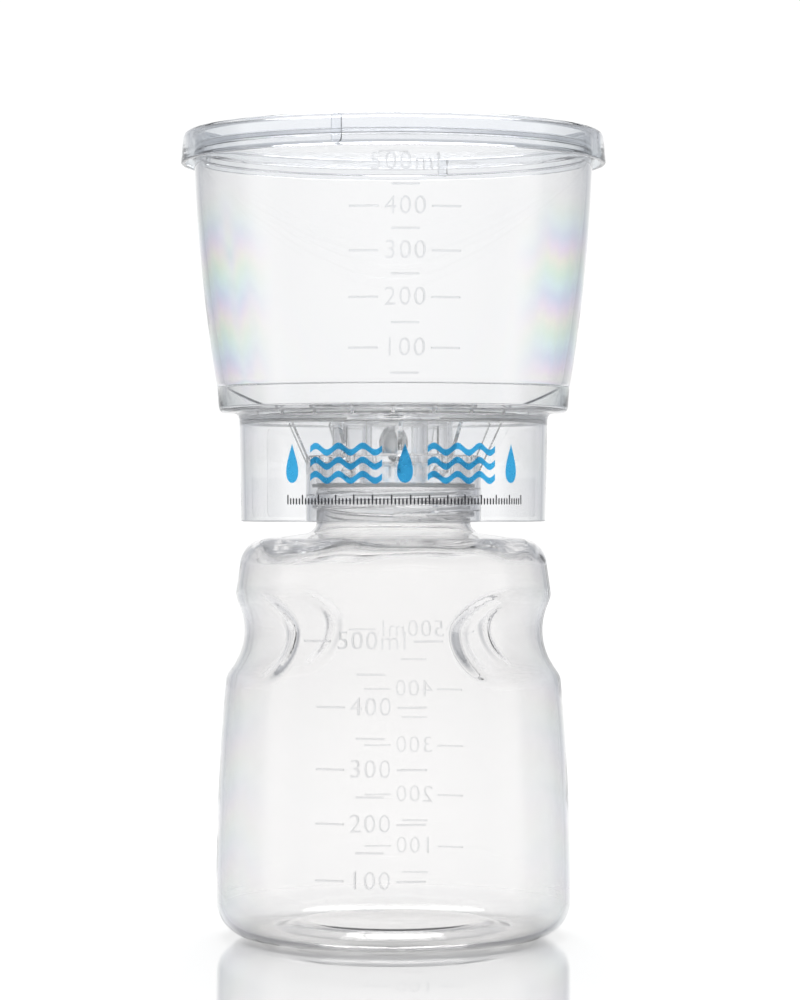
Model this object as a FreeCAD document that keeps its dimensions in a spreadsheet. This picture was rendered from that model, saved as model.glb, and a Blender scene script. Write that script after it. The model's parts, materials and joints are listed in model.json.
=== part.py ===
import FreeCAD, Part
import math
import os
import re
import Sketcher

# Vacuum filtration unit: funnel with lid, filter base and receiver bottle.
# Millimetres, +Z up, origin at the centre of the bottle's base, front towards -Y.

doc = FreeCAD.newDocument("vacuum_filtration_unit")

# ---------------------------------------------------------------- sizes
SIZES = [
    # receiver bottle
    ("bottle_height", 122.5, "base to mouth rim"),
    ("bottle_wall", 1.5, "wall of the bottle"),
    ("bottle_heel_radius", 48.45, "outer radius just above the heel"),
    ("bottle_heel_round", 9.7, "rounding of the heel"),
    ("bottle_side_bow", 615.0, "radius of the bowed side in section"),
    ("bottle_side_taper", 6.35, "how much narrower the bottle is where the shoulder starts"),
    ("bottle_shoulder_drop", 21.7, "start of the shoulder below the mouth rim"),
    ("bottle_shoulder_round", 8.0, "rounding of the shoulder"),
    ("bottle_shoulder_slope", 1.2, "rise of the shoulder towards the neck"),
    ("standing_ring_width", 9.8, "flat ring that the bottle stands on"),
    ("punt_depth", 3.2, "depth of the hollow inside that ring"),
    ("punt_slope", 2.0, "width of that hollow's sloping edge"),
    ("neck_radius", 21.1, "outside of the neck"),
    ("neck_wall", 2.5, "wall of the neck"),
    ("neck_fillet", 3.0, "fillet between neck and shoulder"),
    ("rim_round", 1.0, "rounding of the mouth rim's outer edge"),
    ("thumb_drop", 37.6, "middle of the thumb hollows below the mouth rim"),
    ("thumb_section_radius", 17.5, "radius of a thumb hollow in section"),
    ("thumb_depth", 7.65, "floor of a thumb hollow inside the heel's radius"),
    ("thumb_angle", 121.0, "how far a thumb hollow goes round the bottle"),
    ("thumb_turn", -7.3, "turn of the thumb hollows from the sides"),
    # seal and filter base
    ("gasket_thickness", 1.0, "neck gasket"),
    ("gasket_clearance", 0.5, "gap between gasket and collar"),
    ("land_height", 5.8, "seal land under the collar's ceiling"),
    ("land_width", 2.6, "width of the seal land"),
    ("ceiling_thickness", 2.0, "ceiling of the collar"),
    ("gallery_height", 9.0, "vacuum gallery above the ceiling"),
    ("gallery_inset", 4.1, "outside of the gallery's wall inside the neck's radius"),
    ("gallery_width", 6.3, "space between the gallery's wall and the spout"),
    ("floor_thickness", 2.0, "floor of the filter base"),
    ("drain_rib_height", 1.9, "ribs that hold the membrane up"),
    ("drain_rib_width", 1.0, "width of a drain rib"),
    ("drain_rib_count", 24, "drain ribs round the floor"),
    ("spout_reach", 6.2, "spout below the ceiling"),
    ("moulded_wall", 1.4, "wall of the funnel, skirt and spout"),
    ("thread_gap", 1.7, "gap between neck and collar, for the thread"),
    ("collar_wall", 1.2, "wall of the collar"),
    ("skirt_clearance", 3.2, "skirt and collar above the foot of the neck"),
    ("seat_width", 4.0, "membrane seat between the skirt's outside and the cup"),
    ("skirt_taper", 0.55, "how much narrower the skirt is at its bottom"),
    ("skirt_fillet", 2.0, "fillet between skirt and ledge"),
    ("ledge_thickness", 1.5, "ledge outside the skirt"),
    ("membrane_margin", 1.2, "gap between membrane and cup"),
    ("cup_taper", 0.5, "how much narrower the cup is at its bottom"),
    ("cup_round", 1.6, "rounding of the cup's bottom edge"),
    ("cup_inset", 0.25, "outside of the cup inside the bottle's heel radius"),
    ("cup_wall", 2.0, "wall of the cup"),
    ("cup_height", 5.6, "cup above the membrane seat"),
    ("web_count", 12, "webs between skirt space and collar"),
    ("web_thickness", 1.2, "thickness of a web"),
    ("web_turn", 3.6, "turn of the webs from the front"),
    ("web_top_width", 8.5, "how far a web reaches beyond the collar at the floor"),
    ("web_foot_width", 1.4, "how far it reaches at its foot"),
    ("web_foot_drop", 3.1, "foot of a web below the ceiling's underside"),
    ("pip_radius", 1.9, "round pips on the collar"),
    ("pip_angle", 30.0, "angle of a pip from the front"),
    ("pip_drop", 2.8, "pips below the ceiling's underside"),
    ("vent_radius", 1.5, "vent holes from gallery to bottle"),
    ("vent_count", 4, "vent holes"),
    # vacuum port and hose connector
    ("port_radius", 5.4, "outside of the vacuum port"),
    ("port_overhang", 2.3, "outer end of the port beyond the skirt"),
    ("connector_bore", 1.6, "bore of the hose connector"),
    ("connector_depth", 8.0, "how deep the connector goes into the port"),
    ("connector_flange_width", 1.4, "flange of the connector, as wide as the port"),
    ("connector_stem", 2.9, "radius of the nipple between the barbs"),
    ("barb_rise", 1.0, "barb above the nipple"),
    ("barb_length", 3.6, "length of a barb"),
    ("barb_land", 1.0, "straight part of a barb"),
    ("fit_clearance", 0.05, "gap round a piece that is seated in another"),
    ("plug_length", 9.0, "cotton plug in the port"),
    # membrane, funnel and lid
    ("membrane_thickness", 0.2, "thickness of the membrane"),
    ("spigot_wall", 1.6, "wall of the funnel's lower edge inside the cup"),
    ("funnel_foot_overhang", 0.1, "outside of the funnel beyond the cup"),
    ("funnel_height", 69.6, "membrane to the funnel's rim"),
    ("funnel_flare", 6.2, "how much wider the funnel is under its rim"),
    ("funnel_side_bow", 494.0, "radius of the bowed side in section"),
    ("funnel_step", 2.0, "height of the inner step above the cup"),
    ("bead_width", 0.6, "rim bead outside the funnel"),
    ("bead_height", 2.4, "height of the rim bead"),
    ("lid_wall", 1.3, "wall of the lid"),
    ("lid_panel_inset", 1.5, "recessed panel inside the funnel's radius"),
    ("lid_recess_slope", 0.3, "slope of the recess's wall"),
    ("lid_ring_rise", 4.1, "ring above the panel"),
    ("lid_ring_overhang", 1.7, "flat top of the ring beyond the funnel"),
    ("lid_shoulder_width", 1.2, "width of the ring's rounded edge"),
    ("lid_shoulder_round", 2.0, "rounding of the ring's outer edge"),
    ("lid_skirt_flare", 0.7, "how much wider the lid is at its lower edge"),
    ("lid_skirt_drop", 3.3, "lower edge below the funnel's rim"),
    ("lid_rib_width", 2.6, "spacer ribs inside the lid"),
    ("lid_rib_count", 4, "spacer ribs"),
    ("lid_rib_turn", -15.0, "turn of the ribs from the front"),
    ("lid_rib_lift", 0.7, "foot of a rib above the lid's lower edge"),
    ("lid_rib_gap", 0.35, "gap between rib and rim bead"),
    ("gate_mark_radius", 3.7, "gate mark in the middle of the lid"),
    ("gate_mark_depth", 0.4, "depth of the gate mark"),
    # labels
    ("front_label_drop", 4.7, "top of the front label below the cup's ledge"),
    ("label_lift", 1.2, "label above the skirt's lower edge"),
    ("label_thickness", 0.12, "thickness of a label"),
    ("label_gap", 0.02, "glue between skirt and label"),
    ("front_label_angle", 118.0, "wrap of the front label"),
    ("front_label_turn", 6.3, "turn of its middle from the front"),
    ("back_label_angle", 154.0, "wrap of the back label"),
    ("back_label_height", 10.9, "height of the back label"),
]

sheet = doc.addObject("Spreadsheet::Sheet", "Sizes")
for row, (alias, value, note) in enumerate(SIZES, start=1):
    sheet.set(f"A{row}", alias)
    sheet.set(f"B{row}", str(value))
    sheet.setAlias(f"B{row}", alias)
    sheet.set(f"C{row}", note)
doc.recompute()

ALIASES = {alias for alias, value, note in SIZES}
FRONT_ANGLE = 270
BACK_ANGLE = 90

# ---------------------------------------------------------------- radii, from the bottle's heel and neck
SHOULDER_RADIUS = "(bottle_heel_radius - bottle_side_taper)"
PUNT_RADIUS = "(bottle_heel_radius - bottle_heel_round - standing_ring_width)"
THUMB_EDGE = "(bottle_heel_radius + bottle_wall)"
THUMB_FLOOR = "(bottle_heel_radius - thumb_depth)"
THUMB_END_WALL = f"(bottle_wall / {THUMB_FLOOR} * 180 / pi)"
NECK_BORE = "(neck_radius - neck_wall)"
COLLAR_BORE = "(neck_radius + thread_gap)"
COLLAR_RADIUS = f"({COLLAR_BORE} + collar_wall)"
GALLERY_RADIUS = "(neck_radius - gallery_inset)"
GALLERY_INSIDE = f"({GALLERY_RADIUS} - moulded_wall)"
SPOUT_RADIUS = f"({GALLERY_INSIDE} - gallery_width)"
SPOUT_BORE = f"({SPOUT_RADIUS} - moulded_wall)"
CUP_RADIUS = "(bottle_heel_radius - cup_inset)"
CUP_INSIDE = f"({CUP_RADIUS} - cup_wall)"
MEMBRANE_RADIUS = f"({CUP_INSIDE} - membrane_margin)"
SKIRT_RADIUS = f"({CUP_INSIDE} - seat_width)"
SKIRT_INSIDE = f"({SKIRT_RADIUS} - moulded_wall)"
FUNNEL_FOOT = f"({CUP_RADIUS} + funnel_foot_overhang)"
FUNNEL_TOP = f"({FUNNEL_FOOT} + funnel_flare)"
BEAD_RADIUS = f"({FUNNEL_TOP} + bead_width)"
LID_PANEL = f"({FUNNEL_TOP} - lid_panel_inset)"
LID_RING = f"({FUNNEL_TOP} + lid_ring_overhang)"
LID_SHOULDER = f"({LID_RING} + lid_shoulder_width)"
LID_SKIRT = f"({LID_SHOULDER} + lid_skirt_flare)"
PORT_BORE = "(port_radius - moulded_wall)"
PORT_REACH = f"({SKIRT_RADIUS} + port_overhang)"
PORT_SEAT = f"({PORT_REACH} - connector_depth)"
BARB_RADIUS = "(connector_stem + barb_rise)"

# ---------------------------------------------------------------- levels, from the base upwards
THUMB_HEIGHT = "(bottle_height - thumb_drop)"
SHOULDER_FOOT = "(bottle_height - bottle_shoulder_drop)"
SHOULDER_TOP = f"({SHOULDER_FOOT} + bottle_shoulder_round)"
NECK_FOOT = f"({SHOULDER_TOP} + bottle_shoulder_slope)"
SKIRT_BOTTOM = f"({NECK_FOOT} + skirt_clearance)"
SEAL = "(bottle_height + gasket_thickness)"
CEILING = f"({SEAL} + land_height)"
GALLERY_FLOOR = f"({CEILING} + ceiling_thickness)"
FLOOR = f"({GALLERY_FLOOR} + gallery_height)"
FLOOR_TOP = f"({FLOOR} + floor_thickness)"
MEMBRANE_SEAT = f"({FLOOR_TOP} + drain_rib_height)"
MEMBRANE_TOP = f"({MEMBRANE_SEAT} + membrane_thickness)"
CUP_TOP = f"({MEMBRANE_SEAT} + cup_height)"
LEDGE = f"({MEMBRANE_SEAT} - ledge_thickness)"
SKIRT_HEIGHT = f"({LEDGE} - {SKIRT_BOTTOM})"
FUNNEL_RIM = f"({MEMBRANE_TOP} + funnel_height)"
LID_PANEL_TOP = f"({FUNNEL_RIM} + lid_wall)"
LID_TOP = f"({LID_PANEL_TOP} + lid_ring_rise)"
LID_BOTTOM = f"({FUNNEL_RIM} - lid_skirt_drop)"
PORT_AXIS = f"({FLOOR} - port_radius)"
SPOUT_END = f"({CEILING} - spout_reach)"
WEB_FOOT = f"({CEILING} - web_foot_drop)"
FRONT_LABEL_HEIGHT = f"({SKIRT_HEIGHT} - label_lift - front_label_drop)"


# ---------------------------------------------------------------- helpers
def bound(text):
    """The expression with each size's name pointing at its cell."""
    return re.sub(r"[a-z_]+", lambda m: f"Sizes.{m[0]}" if m[0] in ALIASES else m[0], str(text))


probe = doc.addObject("App::FeaturePython", "probe")
probe.addProperty("App::PropertyFloat", "worked")


def value_of(text):
    """The number that an expression of sizes works out to."""
    probe.setExpression("worked", bound(text))
    probe.recompute()
    return probe.worked


def bind(thing, **properties):
    """Binds properties of a document object to expressions of sizes."""
    for name, text in properties.items():
        thing.setExpression(name, bound(text))
    return thing


def place(thing, x="0", y="0", z="0"):
    """Binds the position of an object to expressions of sizes."""
    thing.setExpression("Placement.Base.x", bound(x))
    thing.setExpression("Placement.Base.y", bound(y))
    thing.setExpression("Placement.Base.z", bound(z))
    return thing


def origin_plane(body, role):
    return next(f for f in body.Origin.OriginFeatures if f.Role == role)


def arc_between(start, end, radius, side):
    """A short arc from start to end that bulges to the left (1) or right (-1) of its run."""
    chord = end - start
    half = chord.Length / 2
    across = FreeCAD.Vector(-chord.y, chord.x, 0).normalize()
    bulge = radius - math.sqrt(max(radius**2 - half**2, 0))
    return Part.Arc(start, (start + end) / 2 + across * side * bulge, end)


def fix_to_cells(sketch, geometry, position, across, up):
    """Ties one point of a sketch to two expressions, measured from the sketch's origin."""
    for kind, axis, text in (("DistanceX", -2, across), ("DistanceY", -1, up)):
        if str(text) == "0":
            sketch.addConstraint(Sketcher.Constraint("PointOnObject", geometry, position, axis))
            continue
        number = value_of(text)
        index = sketch.addConstraint(
            Sketcher.Constraint(kind, -1, 1, geometry, position, number)
        )
        sketch.setExpression(f"Constraints[{index}]", bound(text))


def draw(sketch, corners):
    """Draws a closed outline. A corner is (across, up) or (across, up, radius, side):
    with a radius, the run that arrives at the corner is an arc."""
    points = [FreeCAD.Vector(value_of(c[0]), value_of(c[1]), 0) for c in corners]
    ends = []
    for i, corner in enumerate(corners):
        start, end = points[i - 1], points[i]
        if len(corner) == 2:
            ends.append((sketch.addGeometry(Part.LineSegment(start, end)), 1, 2))
            continue
        radius, side = corner[2], corner[3]
        arc = sketch.addGeometry(arc_between(start, end, value_of(radius), side))
        forward = sketch.getPoint(arc, 1).distanceToPoint(start) < 1e-6
        ends.append((arc, 1, 2) if forward else (arc, 2, 1))
        index = sketch.addConstraint(Sketcher.Constraint("Radius", arc, value_of(radius)))
        sketch.setExpression(f"Constraints[{index}]", bound(radius))
    for i, (geometry, first, last) in enumerate(ends):
        following = ends[(i + 1) % len(ends)]
        sketch.addConstraint(
            Sketcher.Constraint("Coincident", geometry, last, following[0], following[1])
        )
        fix_to_cells(sketch, geometry, last, corners[i][0], corners[i][1])


def outline(body, plane, corners, x="0", z="0"):
    """A sketch of a closed outline on one of the body's origin planes, or offset from it."""
    sketch = body.newObject("Sketcher::SketchObject", f"{body.Name}_outline")
    sketch.AttachmentSupport = [(origin_plane(body, plane), "")]
    sketch.MapMode = "FlatFace"
    sketch.setExpression("AttachmentOffset.Base.x", bound(x))
    sketch.setExpression("AttachmentOffset.Base.z", bound(z))
    doc.recompute()
    draw(sketch, corners)
    return sketch


def turned(name, corners, angle="360"):
    """A body turned about Z from an outline of (radius, height) corners."""
    body = doc.addObject("PartDesign::Body", name)
    sketch = outline(body, "XZ_Plane", corners)
    turn = body.newObject("PartDesign::Revolution", f"{name}_turn")
    turn.Profile = sketch
    turn.ReferenceAxis = (sketch, ["V_Axis"])
    turn.setExpression("Angle", bound(angle))
    body.Tip = turn
    doc.recompute()
    return body


def around(body, feature, count, name):
    """Repeats a feature of a body round the Z axis."""
    pattern = body.newObject("PartDesign::PolarPattern", name)
    pattern.Originals = [feature]
    pattern.Axis = (origin_plane(body, "Z_Axis"), [""])
    pattern.Angle = 360
    bind(pattern, Occurrences=count)
    body.Tip = pattern
    doc.recompute()
    return pattern


def web(body, name, corners, thickness, turn):
    """Adds a flat upright web: an outline of (radius, height) corners, thickened both ways."""
    sketch = body.newObject("Sketcher::SketchObject", f"{name}_outline")
    sketch.AttachmentSupport = [(origin_plane(body, "XZ_Plane"), "")]
    sketch.MapMode = "FlatFace"
    sketch.AttachmentOffset = FreeCAD.Placement(
        FreeCAD.Vector(), FreeCAD.Rotation(FreeCAD.Vector(0, 1, 0), value_of(turn))
    )
    sketch.setExpression("AttachmentOffset.Rotation.Angle", bound(turn))
    doc.recompute()
    draw(sketch, corners)
    pad = body.newObject("PartDesign::Pad", name)
    pad.Profile = sketch
    pad.SideType = "Symmetric"
    bind(pad, Length=thickness)
    body.Tip = pad
    doc.recompute()
    return pad


def primitive(body, kind, name, x="0", y="0", z="0", rotation=None, **properties):
    """Adds or cuts a PartDesign primitive at a bound place."""
    shape = body.newObject(f"PartDesign::{kind}", name)
    shape.AttachmentSupport = [(origin_plane(body, "XY_Plane"), "")]
    shape.MapMode = "FlatFace"
    if rotation is not None:
        shape.AttachmentOffset = FreeCAD.Placement(FreeCAD.Vector(), rotation)
    shape.setExpression("AttachmentOffset.Base.x", bound(x))
    shape.setExpression("AttachmentOffset.Base.y", bound(y))
    shape.setExpression("AttachmentOffset.Base.z", bound(z))
    bind(shape, **properties)
    body.Tip = shape
    doc.recompute()
    return shape


def joined(kind, name, base, tool):
    """A Part boolean of two objects."""
    made = doc.addObject(f"Part::{kind}", name)
    made.Base = base
    made.Tool = tool
    return made


# ---------------------------------------------------------------- receiver bottle
bottle_form = turned("bottle_form", [
    ("0", "punt_depth"),
    (f"{PUNT_RADIUS} - punt_slope", "punt_depth"),
    (PUNT_RADIUS, "0"),
    ("bottle_heel_radius - bottle_heel_round", "0"),
    ("bottle_heel_radius", "bottle_heel_round", "bottle_heel_round", -1),
    (SHOULDER_RADIUS, SHOULDER_FOOT, "bottle_side_bow", -1),
    (f"{SHOULDER_RADIUS} - bottle_shoulder_round", SHOULDER_TOP, "bottle_shoulder_round", -1),
    ("neck_radius + neck_fillet", NECK_FOOT),
    ("neck_radius", f"{NECK_FOOT} + neck_fillet", "neck_fillet", 1),
    ("neck_radius", "bottle_height - rim_round"),
    ("neck_radius - rim_round", "bottle_height", "rim_round", -1),
    ("0", "bottle_height"),
])

bottle_hollow = turned("bottle_hollow", [
    ("0", "punt_depth + bottle_wall"),
    (f"{PUNT_RADIUS} - punt_slope", "punt_depth + bottle_wall"),
    (PUNT_RADIUS, "bottle_wall"),
    ("bottle_heel_radius - bottle_heel_round", "bottle_wall"),
    ("bottle_heel_radius - bottle_wall", "bottle_heel_round", "bottle_heel_round - bottle_wall", -1),
    (f"{SHOULDER_RADIUS} - bottle_wall", SHOULDER_FOOT, "bottle_side_bow", -1),
    (
        f"{SHOULDER_RADIUS} - bottle_shoulder_round",
        f"{SHOULDER_TOP} - bottle_wall",
        "bottle_shoulder_round - bottle_wall",
        -1,
    ),
    ("neck_radius + neck_fillet", f"{NECK_FOOT} - bottle_wall"),
    (
        NECK_BORE,
        f"{NECK_FOOT} - bottle_wall + neck_fillet + neck_wall",
        "neck_fillet + neck_wall",
        1,
    ),
    (NECK_BORE, "bottle_height + rim_round"),
    ("0", "bottle_height + rim_round"),
])


def thumb_hollow(name, side_angle, extra, angle):
    """The form that hollows one side of the bottle, larger by extra for the inner wall."""
    section = f"(thumb_section_radius + {extra})"
    sink = f"({THUMB_EDGE} - {THUMB_FLOOR} + {extra})"
    reach = f"sqrt({section}^2 - ({section} - {sink})^2)"
    form = turned(
        name,
        [
            (THUMB_EDGE, f"{THUMB_HEIGHT} - {reach}", section, -1),
            (THUMB_EDGE, f"{THUMB_HEIGHT} + {reach}"),
        ],
        angle,
    )
    form.Tip.Midplane = True
    form.Placement.Rotation = FreeCAD.Rotation(FreeCAD.Vector(0, 0, 1), 1)
    form.setExpression("Placement.Rotation.Angle", bound(f"{side_angle} + thumb_turn"))
    return form


outside, inside = bottle_form, bottle_hollow
for name, side_angle in (("right", 0), ("left", 180)):
    form = thumb_hollow(f"thumb_{name}", side_angle, "0", "thumb_angle")
    outside = joined("Cut", f"outside_{name}", outside, form)
    inner_angle = f"thumb_angle + 2 * {THUMB_END_WALL}"
    inner_form = thumb_hollow(f"thumb_inner_{name}", side_angle, "bottle_wall", inner_angle)
    inside = joined("Cut", f"inside_{name}", inside, inner_form)
bottle = joined("Cut", "bottle", outside, inside)

# ---------------------------------------------------------------- neck gasket
neck_gasket = turned("neck_gasket", [
    ("neck_radius - land_width", "bottle_height"),
    (f"{COLLAR_BORE} - gasket_clearance", "bottle_height"),
    (f"{COLLAR_BORE} - gasket_clearance", SEAL),
    ("neck_radius - land_width", SEAL),
])

# ---------------------------------------------------------------- filter base
filter_base = turned("filter_base", [
    (SPOUT_BORE, SPOUT_END),
    (SPOUT_BORE, FLOOR_TOP),
    (SKIRT_INSIDE, FLOOR_TOP),
    (SKIRT_INSIDE, MEMBRANE_SEAT),
    (CUP_INSIDE, MEMBRANE_SEAT),
    (CUP_INSIDE, CUP_TOP),
    (CUP_RADIUS, CUP_TOP),
    (f"{CUP_RADIUS} - cup_taper", f"{LEDGE} + cup_round"),
    (f"{CUP_RADIUS} - cup_taper - cup_round", LEDGE, "cup_round", 1),
    (f"{SKIRT_RADIUS} + skirt_fillet", LEDGE),
    (SKIRT_RADIUS, f"{LEDGE} - skirt_fillet", "skirt_fillet", -1),
    (f"{SKIRT_RADIUS} - skirt_taper", SKIRT_BOTTOM),
    (f"{SKIRT_RADIUS} - skirt_taper - moulded_wall", SKIRT_BOTTOM),
    (SKIRT_INSIDE, FLOOR),
    (GALLERY_RADIUS, FLOOR),
    (GALLERY_RADIUS, GALLERY_FLOOR),
    (COLLAR_RADIUS, GALLERY_FLOOR),
    (COLLAR_RADIUS, SKIRT_BOTTOM),
    (COLLAR_BORE, SKIRT_BOTTOM),
    (COLLAR_BORE, CEILING),
    ("neck_radius", CEILING),
    ("neck_radius", SEAL),
    ("neck_radius - land_width", SEAL),
    ("neck_radius - land_width", CEILING),
    (SPOUT_RADIUS, CEILING),
    (SPOUT_RADIUS, SPOUT_END),
])

side_web = web(
    filter_base,
    "side_web",
    [
        (f"{GALLERY_RADIUS} - moulded_wall / 2", f"{GALLERY_FLOOR} - ceiling_thickness / 2"),
        (f"{GALLERY_RADIUS} - moulded_wall / 2", f"{FLOOR} + floor_thickness / 2"),
        (f"{COLLAR_RADIUS} + web_top_width", f"{FLOOR} + floor_thickness / 2"),
        (f"{COLLAR_RADIUS} + web_top_width", FLOOR),
        (f"{COLLAR_RADIUS} + web_foot_width", WEB_FOOT),
        (f"{COLLAR_RADIUS} - collar_wall / 2", WEB_FOOT),
        (f"{COLLAR_RADIUS} - collar_wall / 2", f"{GALLERY_FLOOR} - ceiling_thickness / 2"),
    ],
    "web_thickness",
    "web_turn",
)
around(filter_base, side_web, "web_count", "side_webs")

drain_rib = web(
    filter_base,
    "drain_rib",
    [
        (SPOUT_RADIUS, f"{FLOOR_TOP} - floor_thickness / 2"),
        (f"{SKIRT_RADIUS} - moulded_wall / 2", f"{FLOOR_TOP} - floor_thickness / 2"),
        (f"{SKIRT_RADIUS} - moulded_wall / 2", MEMBRANE_SEAT),
        (SPOUT_RADIUS, MEMBRANE_SEAT),
    ],
    "drain_rib_width",
    "0",
)
around(filter_base, drain_rib, "drain_rib_count", "drain_ribs")

TOWARDS_BACK = FreeCAD.Rotation(FreeCAD.Vector(1, 0, 0), -90)
primitive(
    filter_base, "AdditiveCylinder", "port",
    y=GALLERY_INSIDE, z=PORT_AXIS, rotation=TOWARDS_BACK,
    Radius="port_radius", Height=f"{PORT_REACH} - {GALLERY_INSIDE}",
)

gallery_section = outline(filter_base, "XZ_Plane", [
    (SPOUT_RADIUS, GALLERY_FLOOR),
    (GALLERY_INSIDE, GALLERY_FLOOR),
    (GALLERY_INSIDE, FLOOR),
    (SPOUT_RADIUS, FLOOR),
])
solid_before = filter_base.Shape.Volume
gallery = filter_base.newObject("PartDesign::Groove", "gallery")
gallery.Profile = gallery_section
gallery.ReferenceAxis = (gallery_section, ["V_Axis"])
gallery.Angle = 360
filter_base.Tip = gallery
doc.recompute()
assert filter_base.Shape.Volume < solid_before, "the gallery has to remove material"

primitive(
    filter_base, "SubtractiveCylinder", "port_bore_cut",
    y=f"{GALLERY_INSIDE} - moulded_wall", z=PORT_AXIS, rotation=TOWARDS_BACK,
    Radius=PORT_BORE, Height=f"{PORT_REACH} - {GALLERY_INSIDE} + 2 * moulded_wall",
)

VENT_CIRCLE = f"({SPOUT_RADIUS} + {GALLERY_INSIDE}) / 2"
vent = primitive(
    filter_base, "SubtractiveCylinder", "vent",
    x=f"{VENT_CIRCLE} * cos(45)", y=f"{VENT_CIRCLE} * sin(45)", z=f"{CEILING} - moulded_wall",
    Radius="vent_radius", Height="ceiling_thickness + 2 * moulded_wall",
)
around(filter_base, vent, "vent_count", "vents")

for name, side in (("pip_right", 1), ("pip_left", -1)):
    primitive(
        filter_base, "AdditiveSphere", name,
        x=f"{side} * {COLLAR_RADIUS} * sin(pip_angle)",
        y=f"-{COLLAR_RADIUS} * cos(pip_angle)",
        z=f"{CEILING} - pip_drop",
        Radius="pip_radius",
    )

# ---------------------------------------------------------------- hose connector and cotton plug
NIPPLE = "connector_depth + connector_flange_width"
barbs = []
for i in range(3):
    foot = f"{NIPPLE} + {i} * barb_length"
    barbs.append((BARB_RADIUS, foot))
    barbs.append((BARB_RADIUS, f"{foot} + barb_land"))
    barbs.append(("connector_stem", f"{foot} + barb_length"))
hose_connector = turned("hose_connector", [
    ("connector_bore", "0"),
    (f"{PORT_BORE} - fit_clearance", "0"),
    (f"{PORT_BORE} - fit_clearance", "connector_depth"),
    ("port_radius", "connector_depth"),
    ("port_radius", NIPPLE),
    *barbs,
    ("connector_bore", f"{NIPPLE} + 3 * barb_length"),
])
hose_connector.Placement.Rotation = TOWARDS_BACK
place(hose_connector, y=PORT_SEAT, z=PORT_AXIS)

air_filter_plug = doc.addObject("Part::Cylinder", "air_filter_plug")
bind(air_filter_plug, Radius=f"{PORT_BORE} - fit_clearance", Height="plug_length")
air_filter_plug.Placement.Rotation = TOWARDS_BACK
place(air_filter_plug, y=f"{PORT_SEAT} - plug_length - fit_clearance", z=PORT_AXIS)

# ---------------------------------------------------------------- membrane and funnel
membrane = doc.addObject("Part::Cylinder", "membrane")
bind(membrane, Radius=MEMBRANE_RADIUS, Height="membrane_thickness")
place(membrane, z=MEMBRANE_SEAT)

SPIGOT_OUTSIDE = f"{CUP_INSIDE} - fit_clearance"
SPIGOT_INSIDE = f"{SPIGOT_OUTSIDE} - spigot_wall"
FUNNEL_SEAT = f"{CUP_TOP} + fit_clearance"
BEAD_FOOT = f"{FUNNEL_RIM} - bead_height"
funnel = turned("funnel", [
    (SPIGOT_INSIDE, MEMBRANE_TOP),
    (SPIGOT_OUTSIDE, MEMBRANE_TOP),
    (SPIGOT_OUTSIDE, FUNNEL_SEAT),
    (FUNNEL_FOOT, FUNNEL_SEAT),
    (FUNNEL_TOP, BEAD_FOOT, "funnel_side_bow", -1),
    (BEAD_RADIUS, f"{BEAD_FOOT} + bead_width"),
    (BEAD_RADIUS, FUNNEL_RIM),
    (f"{FUNNEL_TOP} - moulded_wall", FUNNEL_RIM),
    (f"{FUNNEL_TOP} - moulded_wall", BEAD_FOOT),
    (f"{FUNNEL_FOOT} - moulded_wall", f"{CUP_TOP} + funnel_step", "funnel_side_bow", 1),
    (SPIGOT_INSIDE, CUP_TOP),
])

# ---------------------------------------------------------------- lid
CHANNEL_INSIDE = f"{LID_PANEL} + lid_recess_slope + lid_wall"
lid = turned("lid", [
    ("0", FUNNEL_RIM),
    (CHANNEL_INSIDE, FUNNEL_RIM),
    (CHANNEL_INSIDE, f"{LID_TOP} - lid_wall"),
    (f"{LID_RING} - lid_wall / 2", f"{LID_TOP} - lid_wall"),
    (f"{LID_SKIRT} - lid_wall", LID_BOTTOM),
    (LID_SKIRT, LID_BOTTOM),
    (LID_SHOULDER, f"{LID_TOP} - lid_shoulder_round"),
    (LID_RING, LID_TOP, "lid_shoulder_round", -1),
    (f"{LID_PANEL} + lid_recess_slope", LID_TOP),
    (LID_PANEL, LID_PANEL_TOP),
    ("0", LID_PANEL_TOP),
])

RIB_START = f"{BEAD_RADIUS} + lid_rib_gap"
RIB_FOOT = f"{LID_BOTTOM} + lid_rib_lift + lid_rib_width / 2"
RIB_TOP = f"{LID_TOP} - lid_wall / 2"
rib_section = outline(
    lid,
    "YZ_Plane",
    [
        ("0", RIB_FOOT),
        ("lid_rib_width", RIB_FOOT, "lid_rib_width * 0.55", -1),
        ("lid_rib_width", RIB_TOP),
        ("0", RIB_TOP),
    ],
    x="-lid_rib_width / 2",
    z=RIB_START,
)
rib = lid.newObject("PartDesign::Pad", "lid_rib")
rib.Profile = rib_section
bind(rib, Length=f"{LID_SHOULDER} - lid_wall / 2 - ({RIB_START})")
lid.Tip = rib
doc.recompute()
around(lid, rib, "lid_rib_count", "lid_ribs")
primitive(
    lid, "SubtractiveCylinder", "gate_mark",
    z=f"{LID_PANEL_TOP} - gate_mark_depth",
    Radius="gate_mark_radius", Height="2 * gate_mark_depth",
)
lid.Placement.Rotation = FreeCAD.Rotation(FreeCAD.Vector(0, 0, 1), 1)
lid.setExpression("Placement.Rotation.Angle", bound("lid_rib_turn"))


# ---------------------------------------------------------------- labels
def skirt_at(height):
    """The skirt's outer radius at a height above its lower edge."""
    return f"{SKIRT_RADIUS} - skirt_taper * (1 - ({height}) / ({SKIRT_HEIGHT} - skirt_fillet))"


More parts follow.
